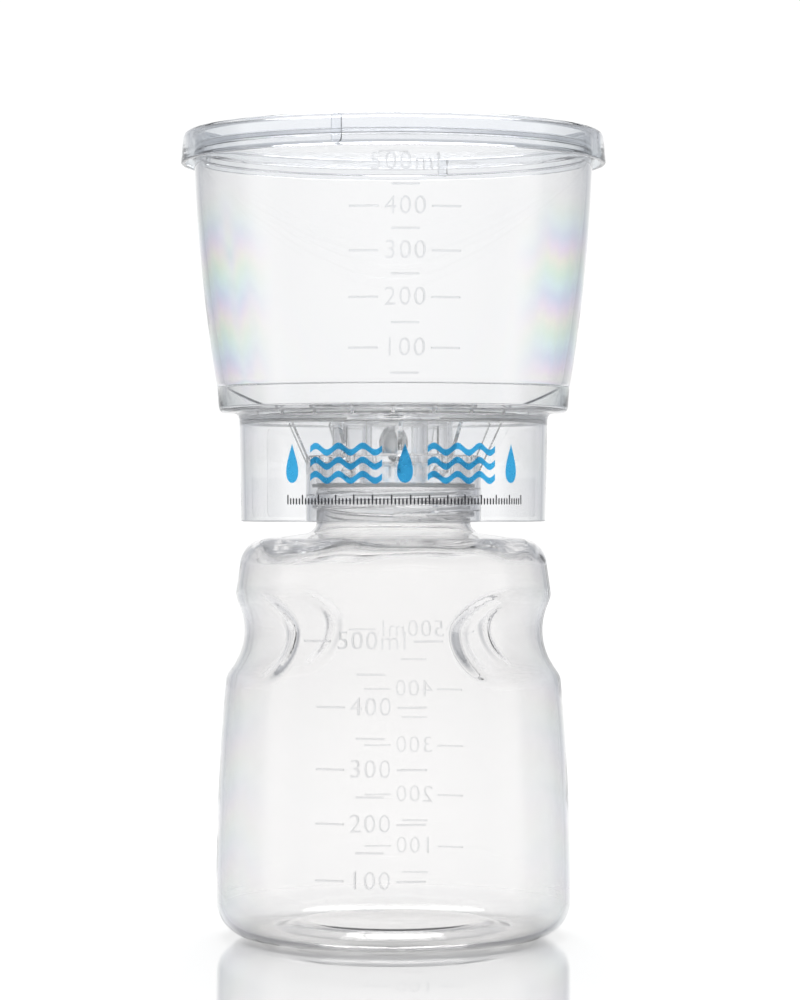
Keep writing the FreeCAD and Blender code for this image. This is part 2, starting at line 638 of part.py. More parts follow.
def label(name, height, angle, middle):
    """A film round part of the skirt, centred on an angle from +X."""
    low, high = "label_lift", f"label_lift + {height}"
    film = turned(
        name,
        [
            (f"{skirt_at(low)} + label_gap", f"{SKIRT_BOTTOM} + {low}"),
            (f"{skirt_at(low)} + label_gap + label_thickness", f"{SKIRT_BOTTOM} + {low}"),
            (f"{skirt_at(high)} + label_gap + label_thickness", f"{SKIRT_BOTTOM} + {high}"),
            (f"{skirt_at(high)} + label_gap", f"{SKIRT_BOTTOM} + {high}"),
        ],
        angle,
    )
    film.Tip.Midplane = True
    film.Placement.Rotation = FreeCAD.Rotation(FreeCAD.Vector(0, 0, 1), 1)
    film.setExpression("Placement.Rotation.Angle", bound(middle))
    return film


front_label = label(
    "front_label", FRONT_LABEL_HEIGHT, "front_label_angle", f"{FRONT_ANGLE} + front_label_turn"
)
back_label = label("back_label", "back_label_height", "back_label_angle", BACK_ANGLE)

# ---------------------------------------------------------------- check and write
SUBPARTS = [
    bottle,
    neck_gasket,
    filter_base,
    hose_connector,
    air_filter_plug,
    membrane,
    funnel,
    lid,
    front_label,
    back_label,
]
doc.recompute()
for thing in doc.Objects:
    assert not {"Invalid", "Error"} & set(thing.State), f"{thing.Label}: {thing.State}"
for subpart in SUBPARTS:
    shape = subpart.Shape
    assert not shape.isNull() and shape.isValid(), f"{subpart.Label} has no valid shape"
    assert len(shape.Solids) == 1, f"{subpart.Label} is one solid"
os.makedirs("parts", exist_ok=True)
for subpart in SUBPARTS:
    subpart.Shape.exportStep(f"parts/{subpart.Label}.step")
    box = subpart.Shape.BoundBox
    print(f"{subpart.Label:16} volume {subpart.Shape.Volume:9.1f}  z {box.ZMin:7.2f} to {box.ZMax:7.2f}")
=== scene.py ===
"""Looks of the vacuum filtration unit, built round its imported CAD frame. Profiles are in millimetres."""
import json
import math

import bmesh
import bpy
from mathutils import Matrix, Vector, noise

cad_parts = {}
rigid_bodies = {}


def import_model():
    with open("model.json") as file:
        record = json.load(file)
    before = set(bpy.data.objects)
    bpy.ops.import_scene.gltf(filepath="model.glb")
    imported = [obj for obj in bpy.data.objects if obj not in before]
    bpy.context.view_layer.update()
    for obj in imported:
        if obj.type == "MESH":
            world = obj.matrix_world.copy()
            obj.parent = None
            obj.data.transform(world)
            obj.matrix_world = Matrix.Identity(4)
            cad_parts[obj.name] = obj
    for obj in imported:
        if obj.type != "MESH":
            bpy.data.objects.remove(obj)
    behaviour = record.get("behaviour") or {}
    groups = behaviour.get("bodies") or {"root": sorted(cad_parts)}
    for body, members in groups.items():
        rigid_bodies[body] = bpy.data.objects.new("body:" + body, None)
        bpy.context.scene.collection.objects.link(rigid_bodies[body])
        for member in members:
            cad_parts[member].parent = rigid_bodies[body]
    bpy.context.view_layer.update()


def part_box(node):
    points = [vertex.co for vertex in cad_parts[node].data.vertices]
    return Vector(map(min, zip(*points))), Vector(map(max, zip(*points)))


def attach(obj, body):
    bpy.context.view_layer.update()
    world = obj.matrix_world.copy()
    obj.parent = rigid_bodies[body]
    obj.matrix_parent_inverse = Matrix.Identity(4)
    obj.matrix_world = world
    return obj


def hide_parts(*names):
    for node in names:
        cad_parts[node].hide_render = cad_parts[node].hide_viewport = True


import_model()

MM = 0.001
FRONT = -math.pi / 2
BACK = math.pi / 2
TURN = 2 * math.pi


def top_of(node):
    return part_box(node)[1].z / MM


def bottom_of(node):
    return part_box(node)[0].z / MM


# ---------------------------------------------------------------- levels, from the frame
MOUTH = top_of("bottle")
SEAL = top_of("neck_gasket")
SKIRT_BOTTOM = bottom_of("filter_base")
CUP_TOP = top_of("filter_base")
MEMBRANE_SEAT = bottom_of("membrane")
MEMBRANE_TOP = top_of("membrane")
RIM = top_of("funnel")
LID_BOTTOM = bottom_of("lid")
LABEL_BOTTOM = bottom_of("front_label")
LABEL_TOP = top_of("front_label")
BACK_LABEL_TOP = top_of("back_label")
PORT_AXIS = (bottom_of("hose_connector") + top_of("hose_connector")) / 2
CONNECTOR_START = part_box("hose_connector")[0].y / MM
PLUG_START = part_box("air_filter_plug")[0].y / MM
PLUG_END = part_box("air_filter_plug")[1].y / MM

AIR = 0.03  # the gap left between touching pieces, so that each face shows as its own

# ---------------------------------------------------------------- camera and light
CAMERA_DISTANCE = 0.964
CAMERA_HEIGHT = 0.119
CAMERA_SIDE = 0.0018
CAMERA_LENS = 126.7
WORLD_STRENGTH = 1.05
CEILING_LIGHT = 0.85
# Light by direction: 0 is straight towards the camera, 0.5 to either side, 1 straight behind the unit.
ROUND_ABOUT = [
    (0.0, 0.9), (0.3, 0.72), (0.5, 0.85), (0.57, 0.5), (0.62, 0.42),
    (0.85, 0.45), (0.94, 0.54), (0.975, 0.7), (0.99, 0.9), (0.996, 1.0),
]
# Light by height: 0 is straight down, 0.5 level, 1 straight up.
UP_AND_DOWN = [(0.4, 1.0), (0.62, 1.0), (0.72, 0.62), (0.82, 0.6)]
GREYS = [(0.0, (0.0, 0.0, 0.0)), (0.5, (0.465, 0.48, 0.51)), (1.0, (1.0, 1.0, 1.0))]
FLOOR_SIZE = 6.0
FLOOR_GAP = 0.0002
FLOOR_GLOW = 0.06
# Painted pool of light beneath the bottle: how bright it glows, and the reaches over which it holds and
# fades.
PAINTED_LIGHT_BENEATH = 0.35
PAINTED_LIGHT_REACH = 0.028
PAINTED_LIGHT_END = 0.038
LIGHT_BOUNCES = 32
SOFTBOX_PLACE = (0, 0.45, 1.1)
SOFTBOX_SIZE = 0.9
SOFTBOX_POWER = 8


def make_camera():
    data = bpy.data.cameras.new("camera")
    data.lens = CAMERA_LENS
    data.sensor_width = 36
    data.clip_start = 0.05
    data.clip_end = 20
    camera = bpy.data.objects.new("camera", data)
    camera.location = (CAMERA_SIDE, -CAMERA_DISTANCE, CAMERA_HEIGHT)
    camera.rotation_euler = (math.pi / 2, 0, 0)
    bpy.context.scene.collection.objects.link(camera)
    bpy.context.scene.camera = camera


class Nodes:
    """A node tree with short calls to add nodes and links."""

    def __init__(self, tree):
        self.tree = tree
        tree.nodes.clear()

    def add(self, kind, inputs=None, **settings):
        node = self.tree.nodes.new(kind)
        for name, value in settings.items():
            setattr(node, name, value)
        for name, value in (inputs or {}).items():
            self.put(node.inputs[name], value)
        return node

    def put(self, socket, value):
        if isinstance(value, bpy.types.NodeSocket):
            self.tree.links.new(value, socket)
        elif isinstance(value, bpy.types.Node):
            self.tree.links.new(value.outputs[0], socket)
        else:
            socket.default_value = value

    def math(self, operation, a, b=0.0, c=0.0):
        return self.add("ShaderNodeMath", {0: a, 1: b, 2: c}, operation=operation)

    def ramp(self, factor, stops):
        node = self.add("ShaderNodeValToRGB", {0: factor})
        elements = node.color_ramp.elements
        while len(elements) < len(stops):
            elements.new(0.5)
        for element, (position, colour) in zip(elements, stops):
            element.position = position
            grey = isinstance(colour, (int, float))
            element.color = (colour, colour, colour, 1) if grey else (*colour, 1)
        return node

    def mix(self, factor, a, b):
        return self.add("ShaderNodeMix", {0: factor, 6: a, 7: b}, data_type="RGBA").outputs[2]


def make_world():
    """White straight behind, light in front, at the sides and overhead, dimmer between the back and the
    sides, and pure white to the camera."""
    world = bpy.data.worlds.new("studio")
    world.use_nodes = True
    bpy.context.scene.world = world
    n = Nodes(world.node_tree)
    split = n.add("ShaderNodeSeparateXYZ", {0: n.add("ShaderNodeTexCoord").outputs["Generated"]})
    height = split.outputs["Z"]
    level = n.math("SQRT", n.math("SUBTRACT", 1.0, n.math("MULTIPLY", height, height)))
    ahead = n.math("DIVIDE", split.outputs["Y"], n.math("MAXIMUM", level, 0.001))
    round_about = n.ramp(n.math("MULTIPLY_ADD", ahead, 0.5, 0.5), ROUND_ABOUT)
    up_and_down = n.ramp(n.math("MULTIPLY_ADD", height, 0.5, 0.5), UP_AND_DOWN)
    overhead = n.ramp(height, [(0.6, 0.0), (0.8, CEILING_LIGHT)])
    light = n.math("MAXIMUM", n.math("MULTIPLY", round_about, up_and_down), overhead)
    path = n.add("ShaderNodeLightPath")
    seen = n.math("MAXIMUM", light, path.outputs["Is Camera Ray"])
    colour = n.ramp(seen, GREYS)
    background = n.add("ShaderNodeBackground", {"Color": colour, "Strength": WORLD_STRENGTH})
    n.add("ShaderNodeOutputWorld", {"Surface": background})


def make_lamp(name, location, target, size, power):
    data = bpy.data.lights.new(name, "AREA")
    data.shape = "DISK"
    data.size = size
    data.energy = power
    lamp = bpy.data.objects.new(name, data)
    lamp.location = location
    lamp.rotation_euler = (Vector(target) - Vector(location)).to_track_quat("-Z", "Y").to_euler()
    bpy.context.scene.collection.objects.link(lamp)


def make_floor():
    """A glossy white sheet that glows a little all over, with a painted pool of light glowing brighter
    inside the bottle's standing ring, where clear plastic gathers light."""
    mesh = bpy.data.meshes.new("floor")
    corners = [(x * FLOOR_SIZE, y * FLOOR_SIZE, 0) for x, y in ((-1, -1), (1, -1), (1, 1), (-1, 1))]
    mesh.from_pydata(corners, [], [(0, 1, 2, 3)])
    floor = bpy.data.objects.new("floor", mesh)
    floor.location.z = -FLOOR_GAP
    bpy.context.scene.collection.objects.link(floor)
    material = bpy.data.materials.new("glossy_white")
    material.use_nodes = True
    n = Nodes(material.node_tree)
    grain = n.add("ShaderNodeTexNoise", {"Scale": 40.0, "Detail": 3.0})
    rough = n.ramp(grain.outputs[0], [(0.0, 0.0), (1.0, 0.025)])
    where = n.add("ShaderNodeTexCoord").outputs["Object"]
    reach = n.add("ShaderNodeVectorMath", {0: where}, operation="LENGTH").outputs["Value"]
    # Painted pool of light: the floor glows brighter beneath the bottle and fades out to the even glow.
    glow_and_painted_light = n.ramp(reach, [(0.0, PAINTED_LIGHT_BENEATH), (PAINTED_LIGHT_REACH, PAINTED_LIGHT_BENEATH), (PAINTED_LIGHT_END, FLOOR_GLOW)])
    shader = n.add(
        "ShaderNodeBsdfPrincipled",
        {
            "Base Color": (0.92, 0.92, 0.92, 1),
            "Metallic": 0.4,
            "Roughness": rough,
            "IOR": 1.6,
            "Emission Color": (1, 1, 1, 1),
            "Emission Strength": glow_and_painted_light,
        },
    )
    n.add("ShaderNodeOutputMaterial", {"Surface": shader})
    floor.data.materials.append(material)


scene = bpy.context.scene
scene.view_settings.view_transform = "Standard"
scene.cycles.max_bounces = LIGHT_BOUNCES
scene.cycles.transmission_bounces = LIGHT_BOUNCES
scene.cycles.glossy_bounces = LIGHT_BOUNCES
scene.cycles.diffuse_bounces = 3
scene.cycles.transparent_max_bounces = 16
scene.cycles.sample_clamp_indirect = 6
make_camera()
make_world()
make_floor()
make_lamp("top_softbox", SOFTBOX_PLACE, (0, 0, 0), SOFTBOX_SIZE, SOFTBOX_POWER)


# ---------------------------------------------------------------- outlines
def arc(start, end, radius, side, steps=10):
    """Points after start, up to end, on a short arc that bulges left (1) or right (-1) of its run."""
    a, b = Vector(start), Vector(end)
    chord = b - a
    half = chord.length / 2
    across = Vector((-chord.y, chord.x)).normalized() * side
    centre = (a + b) / 2 - across * math.sqrt(max(radius**2 - half**2, 0))
    first = math.atan2(*(a - centre).yx)
    sweep = math.atan2(*(b - centre).yx) - first
    sweep = (sweep + math.pi) % TURN - math.pi
    angles = [first + sweep * i / steps for i in range(1, steps + 1)]
    return [(centre.x + radius * math.cos(t), centre.y + radius * math.sin(t)) for t in angles]


def smooth_step(value):
    value = min(max(value, 0.0), 1.0)
    return value * value * (3 - 2 * value)


def rounded(corners, radius=0.35, steps=3):
    """The closed outline with its corners rounded, as a moulding's are. A corner may give its own
    radius."""
    points = []
    count = len(corners)
    for i, corner in enumerate(corners):
        here = Vector(corner[:2])
        before = Vector(corners[i - 1][:2])
        after = Vector(corners[(i + 1) % count][:2])
        size = corner[2] if len(corner) > 2 else radius
        into, out = before - here, after - here
        if size <= 0 or min(into.length, out.length) < 1e-6:
            points.append(tuple(here))
            continue
        angle = into.angle(out)
        if angle > math.radians(165) or here.x < 1e-6:
            points.append(tuple(here))
            continue
        reach = min(size / math.tan(angle / 2), 0.45 * into.length, 0.45 * out.length)
        start = here + into.normalized() * reach
        end = here + out.normalized() * reach
        for k in range(steps + 1):
            t = k / steps
            points.append(tuple(start * (1 - t) ** 2 + here * 2 * t * (1 - t) + end * t * t))
    return points


# ---------------------------------------------------------------- meshes
def area_sign(outline):
    return sum(a[0] * b[1] - b[0] * a[1] for a, b in zip(outline, outline[1:] + outline[:1]))


def add_lathe(bm, outline, segments=256, cavity=False, move=None):
    """Turns a closed outline of (radius, height) round Z. move(radius, height, angle) may bend it."""
    outward = (area_sign(outline) > 0) != cavity
    rings = []
    for radius, height in outline:
        if radius < 1e-6:
            rings.append([bm.verts.new((0, 0, height * MM))])
            continue
        ring = []
        for k in range(segments):
            angle = TURN * k / segments
            r, z = move(radius, height, angle) if move else (radius, height)
            ring.append(bm.verts.new((r * MM * math.cos(angle), r * MM * math.sin(angle), z * MM)))
        rings.append(ring)
    for i, ring in enumerate(rings):
        nearby = rings[(i + 1) % len(rings)]
        if len(ring) == 1 and len(nearby) == 1:
            continue
        for k in range(segments):
            j = (k + 1) % segments
            corners = [ring[k % len(ring)], ring[j % len(ring)]]
            corners += [nearby[j % len(nearby)], nearby[k % len(nearby)]]
            corners = list(dict.fromkeys(corners))
            bm.faces.new(corners if outward else corners[::-1])


def add_loft(bm, sections):
    """Skins a run of four-cornered sections and closes both ends."""
    for a, b in zip(sections, sections[1:]):
        for i in range(4):
            j = (i + 1) % 4
            bm.faces.new([a[i], a[j], b[j], b[i]])
    bm.faces.new(sections[0][::-1])
    bm.faces.new(sections[-1])


def add_prism(bm, outline, thickness, matrix):
    """A flat plate: an outline of (x, z) corners, thickened both ways along Y, then placed."""
    half = thickness / 2
    if area_sign(outline) < 0:
        outline = outline[::-1]
    front = [bm.verts.new(matrix @ Vector((x * MM, -half * MM, z * MM))) for x, z in outline]
    rear = [bm.verts.new(matrix @ Vector((x * MM, half * MM, z * MM))) for x, z in outline]
    bm.faces.new(front)
    bm.faces.new(rear[::-1])
    for i in range(len(outline)):
        j = (i + 1) % len(outline)
        bm.faces.new([front[j], front[i], rear[i], rear[j]])


SHARP_ANGLE = 40


def finish_piece(name, bm, body, replaced, material, marks=None):
    """Makes the piece's object, smooth but for its sharp edges, and puts it on its body.
    Raised marks are added with their own finish."""
    mesh = bpy.data.meshes.new(name)
    if marks:
        marks_mesh = bpy.data.meshes.new("marks")
        for face in marks.faces:
            face.material_index = 1
        marks.to_mesh(marks_mesh)
        marks.free()
        bm.from_mesh(marks_mesh)
        bpy.data.meshes.remove(marks_mesh)
    bm.to_mesh(mesh)
    bm.free()
    mesh.shade_smooth()
    mesh.set_sharp_from_angle(angle=math.radians(SHARP_ANGLE))
    piece = bpy.data.objects.new(name, mesh)
    bpy.context.scene.collection.objects.link(piece)
    weighted = piece.modifiers.new("weighted_normals", "WEIGHTED_NORMAL")
    weighted.keep_sharp = True
    mesh.materials.append(material)
    if marks:
        mesh.materials.append(moulded_mark)
    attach(piece, body)
    if replaced:
        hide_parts(*replaced)
    return piece


def joined(bm, tools, operation):
    """The mesh with every tool united with it or cut from it, so no surface is left inside."""
    collection = bpy.data.collections.new("tools")
    for number, tool in enumerate([bm, *tools]):
        mesh = bpy.data.meshes.new(f"part_{number}")
        tool.to_mesh(mesh)
        tool.free()
        holder = bpy.data.objects.new(f"part_{number}", mesh)
        bpy.context.scene.collection.objects.link(holder)
        if number == 0:
            body = holder
        else:
            collection.objects.link(holder)
    modifier = body.modifiers.new("joined", "BOOLEAN")
    modifier.operand_type = "COLLECTION"
    modifier.collection = collection
    modifier.operation = operation
    modifier.solver = "EXACT"
    made = bpy.data.meshes.new_from_object(body.evaluated_get(bpy.context.evaluated_depsgraph_get()))
    result = bmesh.new()
    result.from_mesh(made)
    bpy.data.meshes.remove(made)
    for holder in [body, *collection.objects]:
        mesh = holder.data
        bpy.data.objects.remove(holder)
        bpy.data.meshes.remove(mesh)
    bpy.data.collections.remove(collection)
    return result


# ---------------------------------------------------------------- materials
CLEAR_IOR = 1.59
# Painted sheen: pastel strain colours, as polarised light shows them at the left and right sides, laid
# into the clear plastics' colour.
STRESS_SHEEN_TOP = 0.22  # metres, just above the unit: heights of the colour bands are shares of it
STRESS_SHEEN_HALF_WIDTH = 0.06  # metres from the middle: places across are shares of it
STRESS_SHEEN_STEP = 0.017  # metres of height in which the colours run through once
STRESS_AND_PAINTED_SHEEN_COLOURS = [
    (0.0, (0.72, 0.80, 1.0)), (0.2, (0.78, 0.98, 1.0)), (0.4, (0.82, 1.0, 0.84)),
    (0.6, (1.0, 0.98, 0.86)), (0.8, (0.96, 0.82, 1.0)), (1.0, (0.72, 0.80, 1.0)),
]


def styrene(name, tint, stress_and_painted_sheen=0.0, ripple=0.02, haze=0.0, bands=(0.0, STRESS_SHEEN_TOP)):
    """Clear polystyrene: faint flow lines, patches of gloss, and strain colours painted into its colour at
    both sides, as polarised light shows them there.
    """
    material = bpy.data.materials.new(name)
    material.use_nodes = True
    n = Nodes(material.node_tree)
    where = n.add("ShaderNodeTexCoord").outputs["Object"]
    flow_map = n.add("ShaderNodeMapping", {"Vector": where, "Scale": (60.0, 60.0, 9.0)})
    flow = n.add("ShaderNodeTexNoise", {"Vector": flow_map, "Scale": 1.0, "Detail": 3.0})
    place = n.add("ShaderNodeSeparateXYZ", {0: where})
    side = n.math("ABSOLUTE", place.outputs["X"])
    # Painted sheen: the pastel strain colours are laid in only at the left and right sides, where
    # polarised light shows them.
    painted_sheen_sides = n.ramp(n.math("MULTIPLY", side, 1 / STRESS_SHEEN_HALF_WIDTH), [(0.58, 0.0), (0.75, 1.0)])
    climb = n.math("MULTIPLY", place.outputs["Z"], 1 / STRESS_SHEEN_STEP)
    wander = n.math("MULTIPLY_ADD", flow, 1.6, climb)
    painted_sheen_pastel = n.ramp(n.math("FRACT", wander), STRESS_AND_PAINTED_SHEEN_COLOURS)
    low, high = bands[0] / STRESS_SHEEN_TOP, bands[1] / STRESS_SHEEN_TOP
    share = n.math("DIVIDE", place.outputs["Z"], STRESS_SHEEN_TOP)
    faded = n.ramp(share, [(low, 0.0), (low + 0.02, 1.0), (high - 0.08, 1.0), (high, 0.0)])
    strength = n.math("MULTIPLY", n.math("MULTIPLY", painted_sheen_sides, faded), stress_and_painted_sheen)
    colour = n.mix(strength, (*tint, 1), painted_sheen_pastel)
    swell = n.add("ShaderNodeTexNoise", {"Vector": where, "Scale": 45.0, "Detail": 2.0})
    relief = n.math("MULTIPLY_ADD", flow, 0.5, swell)
    bump = n.add("ShaderNodeBump", {"Height": relief, "Strength": ripple, "Distance": 0.004})
    patch = n.add("ShaderNodeTexNoise", {"Vector": where, "Scale": 120.0, "Detail": 4.0})
    rough = n.ramp(patch, [(0.35, haze), (0.75, haze + 0.02)])
    add_surface(n, colour, rough, bump, CLEAR_IOR, 1.0)
    return material


def add_surface(n, colour, rough, bump, ior, transmission):
    """The material's shader and output."""
    inputs = {"Base Color": colour, "Roughness": rough, "Normal": bump}
    inputs.update({"IOR": ior, "Transmission Weight": transmission})
    shader = n.add("ShaderNodeBsdfPrincipled", inputs)
    n.add("ShaderNodeOutputMaterial", {"Surface": shader})


def plain(name, colour, roughness, grain_scale, grain_depth, transmission=0.0, ior=1.45, mottle=0.04):
    """A moulded, felted or printed finish with grain in its colour, gloss and relief."""
    material = bpy.data.materials.new(name)
    material.use_nodes = True
    n = Nodes(material.node_tree)
    where = n.add("ShaderNodeTexCoord").outputs["Object"]
    grain = n.add("ShaderNodeTexNoise", {"Vector": where, "Scale": grain_scale, "Detail": 5.0})
    darker = tuple(c * (1 - mottle) for c in colour)
    shade = n.mix(grain, (*darker, 1), (*colour, 1))
    rough = n.ramp(grain, [(0.3, max(roughness - 0.06, 0.0)), (0.7, min(roughness + 0.06, 1.0))])
    bump = n.add("ShaderNodeBump", {"Height": grain, "Strength": 0.4, "Distance": grain_depth * MM})
    add_surface(n, shade, rough, bump, ior, transmission)
    return material


clear_funnel = styrene(
    "clear_funnel", (0.958, 0.959, 0.961), stress_and_painted_sheen=0.5, ripple=0.008, bands=(0.149, 0.203)
)
clear_bottle = styrene("clear_bottle", (0.936, 0.931, 0.928), stress_and_painted_sheen=0.12, ripple=0.012)
clear_base = styrene("clear_base", (0.985, 0.987, 0.99), stress_and_painted_sheen=0.1, ripple=0.004)
clear_lid = styrene("clear_lid", (0.94, 0.952, 0.97), stress_and_painted_sheen=0.15, ripple=0.003)
moulded_mark = styrene("moulded_mark", (0.93, 0.935, 0.945), haze=0.22)
white_membrane = plain("white_membrane", (0.95, 0.95, 0.94), 0.85, 900, 0.03, 0.35, ior=1.06)
silicone = plain("silicone", (0.86, 0.89, 0.90), 0.35, 300, 0.02, 0.6)
connector_plastic = plain("connector_plastic", (0.86, 0.91, 0.94), 0.2, 200, 0.02, 0.8)
cotton = plain("cotton", (0.95, 0.95, 0.94), 0.95, 1500, 0.3, 0.7, ior=1.06, mottle=0.12)
film = plain("film", (0.985, 0.986, 0.988), 0.02, 1400, 0.012, 1.0, ior=1.2, mottle=0.02)
blue_ink = plain("blue_ink", (0.08, 0.56, 0.95), 0.3, 900, 0.01, 0.85, ior=1.08, mottle=0.06)
dark_ink = plain("dark_ink", (0.03, 0.03, 0.04), 0.45, 900, 0.01, mottle=0.3)


# ---------------------------------------------------------------- moulded marks and threads
RELIEF = 0.35  # how far a mark stands proud of the wall
ROOT = 0.1  # how deep a mark's foot sits in the wall
SCALE_DASH = 7.6
SCALE_HALF_DASH = 7.3
SCALE_FIGURES = 6.9
SCALE_LINE = 0.5


def add_text(bm, text, size, angle, height, radius_at):
    """Raised figures on a round wall, centred on an angle and a height."""
    curve = bpy.data.curves.new("figures", "FONT")
    curve.body = text
    curve.size = size
    curve.align_x = "CENTER"
    curve.align_y = "CENTER"
    curve.extrude = 0.5
    curve.offset = -0.1
    curve.space_character = 1.12
    curve.resolution_u = 4
    holder = bpy.data.objects.new("figures", curve)
    bpy.context.scene.collection.objects.link(holder)
    mesh = bpy.data.meshes.new_from_object(holder)
    bpy.data.objects.remove(holder)
    bpy.data.curves.remove(curve)
    for vertex in mesh.vertices:
        x, y, z = vertex.co
        level = height + y
        radius = radius_at(level) + (RELIEF if z > 0 else -ROOT)
        around = angle + x / radius_at(level)
        vertex.co = (radius * MM * math.cos(around), radius * MM * math.sin(around), level * MM)
    bm.from_mesh(mesh)
    bpy.data.meshes.remove(mesh)


def add_bar(bm, width, thickness, angle, height, radius_at, steps=8):
    """A raised dash on a round wall."""
    low, high = height - thickness / 2, height + thickness / 2
    sections = []
    for k in range(steps + 1):
        around = angle + (k / steps - 0.5) * width / radius_at(height)
        c, s = math.cos(around), math.sin(around)
        corners = []
        for level, lift in ((low, -ROOT), (high, -ROOT), (high, RELIEF), (low, RELIEF)):
            r = radius_at(level) + lift
            corners.append(bm.verts.new((r * MM * c, r * MM * s, level * MM)))
        sections.append(corners)
    add_loft(bm, sections)


def add_scale(bm, levels, low_mark, angle, radius_at):
    """The moulded scale: numbered marks with a dash each side, a short dash between each two, and one
    short dash below them."""
    heights = [level for _, level in levels]
    for text, level in levels:
        half_text = 0.3 * SCALE_FIGURES * len(text)
        add_text(bm, text, SCALE_FIGURES, angle, level, radius_at)
        for side in (-1, 1):
            offset = side * (half_text + SCALE_DASH / 2 + 0.8) / radius_at(level)
            add_bar(bm, SCALE_DASH, SCALE_LINE, angle + offset, level, radius_at)
    for level in [(a + b) / 2 for a, b in zip(heights, heights[1:])] + [low_mark]:
        add_bar(bm, SCALE_HALF_DASH, SCALE_LINE, angle, level, radius_at)


def add_thread(bm, root, crest, start, width, steps=72):
    """A right-handed screw thread as one tapered rib that runs out at both ends."""
    count = int(THREAD_TURNS * steps)
    sections = []
    for k in range(count + 1):
        angle = FRONT + TURN * k / steps
        run = min(1.0, k / (steps / 8), (count - k) / (steps / 8))
        top = root + (crest - root) * max(run, 0.05)
        middle = start + THREAD_PITCH * k / steps
        section = [(root, middle - width / 2), (root, middle + width / 2)]
        section += [(top, middle + width / 5), (top, middle - width / 5)]
        corners = []
        for r, z in section:
            corners.append(bm.verts.new((r * MM * math.cos(angle), r * MM * math.sin(angle), z * MM)))
        sections.append(corners if crest > root else corners[::-1])
    add_loft(bm, sections)


# ---------------------------------------------------------------- bottle
WALL = 1.5
HEEL_RADIUS = 48.45
HEEL_ROUND = 9.7
SHOULDER_RADIUS = 42.1
SHOULDER_HEIGHT = MOUTH - 21.7
SHOULDER_ROUND = 8.0
NECK_RADIUS = 21.1
NECK_WALL = 2.5
NECK_FILLET = 3.0
NECK_FOOT = MOUTH - 12.5
SIDE_BOW = 615.0
PUNT = 2.6
PUNT_FOOT = 33.5
PUNT_SLOPE = 9.0
THUMB_HEIGHT = MOUTH - 38.9
THUMB_FLOOR = 40.8
THUMB_SECTION = 17.5
THUMB_HALF_ANGLE = 61.0
THUMB_WIDEST = THUMB_HEIGHT - 0.2
THUMB_TURN = math.radians(-7.3)
THUMB_NARROWING_BELOW = 0.063
THUMB_NARROWING_ABOVE = 0.16
THUMB_BLEND = 1.2
THUMB_END = 9.0  # degrees over which a hollow's end wall rises
SEAM = 0.12
SEAM_HALF_ANGLE = 1.2
SWIRL = 1.0
SWIRL_SCALE = 2.6
SWIRL_FADE = 3
THREAD_PITCH = 4.0
THREAD_TURNS = 1.5
BOTTLE_MARKS = [("500ml", 82.0), ("400", 64.8), ("300", 48.6), ("200", 34.4), ("100", 19.6)]
BOTTLE_LOW_MARK = 12.1


def bottle_outline():
    """The wall's section: up the outside, over the mouth and down the inside."""
    heel = HEEL_RADIUS - HEEL_ROUND
    shoulder = SHOULDER_RADIUS - SHOULDER_ROUND
    shoulder_top = SHOULDER_HEIGHT + SHOULDER_ROUND
    bore = NECK_RADIUS - NECK_WALL
    slope = [(PUNT_FOOT - PUNT_SLOPE * step / 10, PUNT * smooth_step(step / 10)) for step in range(11)]
    points = [(0, PUNT), *slope[::-1], (heel, 0)]
    points += arc(points[-1], (HEEL_RADIUS, HEEL_ROUND), HEEL_ROUND, -1, 14)
    points += arc(points[-1], (SHOULDER_RADIUS, SHOULDER_HEIGHT), SIDE_BOW, -1, 78)
    points += arc(points[-1], (shoulder, shoulder_top), SHOULDER_ROUND, -1, 12)
    points += [(NECK_RADIUS + NECK_FILLET, NECK_FOOT)]
    points += arc(points[-1], (NECK_RADIUS, NECK_FOOT + NECK_FILLET), NECK_FILLET, 1, 8)
    points += [(NECK_RADIUS, MOUTH - 1)]
    points += arc(points[-1], (NECK_RADIUS - 1, MOUTH), 1, -1, 5)
    points += [(bore + 0.6, MOUTH)]
    points += arc(points[-1], (bore, MOUTH - 0.6), 0.6, -1, 4)
    points += [(NECK_RADIUS - WALL, NECK_FOOT + NECK_FILLET)]
    points += arc(points[-1], (NECK_RADIUS + NECK_FILLET, NECK_FOOT - WALL), NECK_FILLET + WALL, -1, 10)
    points += [(shoulder, shoulder_top - WALL)]
    points += arc(points[-1], (SHOULDER_RADIUS - WALL, SHOULDER_HEIGHT), SHOULDER_ROUND - WALL, 1, 12)
    points += arc(points[-1], (HEEL_RADIUS - WALL, HEEL_ROUND), SIDE_BOW, 1, 78)
    points += arc(points[-1], (heel, WALL), HEEL_ROUND - WALL, 1, 14)
    points += [(radius, height + WALL) for radius, height in slope] + [(0, PUNT + WALL)]
    return points


def side_radius(height):
    """The bottle's outer radius between heel and shoulder."""
    run = Vector((SHOULDER_RADIUS - HEEL_RADIUS, SHOULDER_HEIGHT - HEEL_ROUND))
    share = (height - HEEL_ROUND) / run.y
    bulge = run.length**2 / (8 * SIDE_BOW) * 4 * share * (1 - share)
    return HEEL_RADIUS + run.x * share + bulge


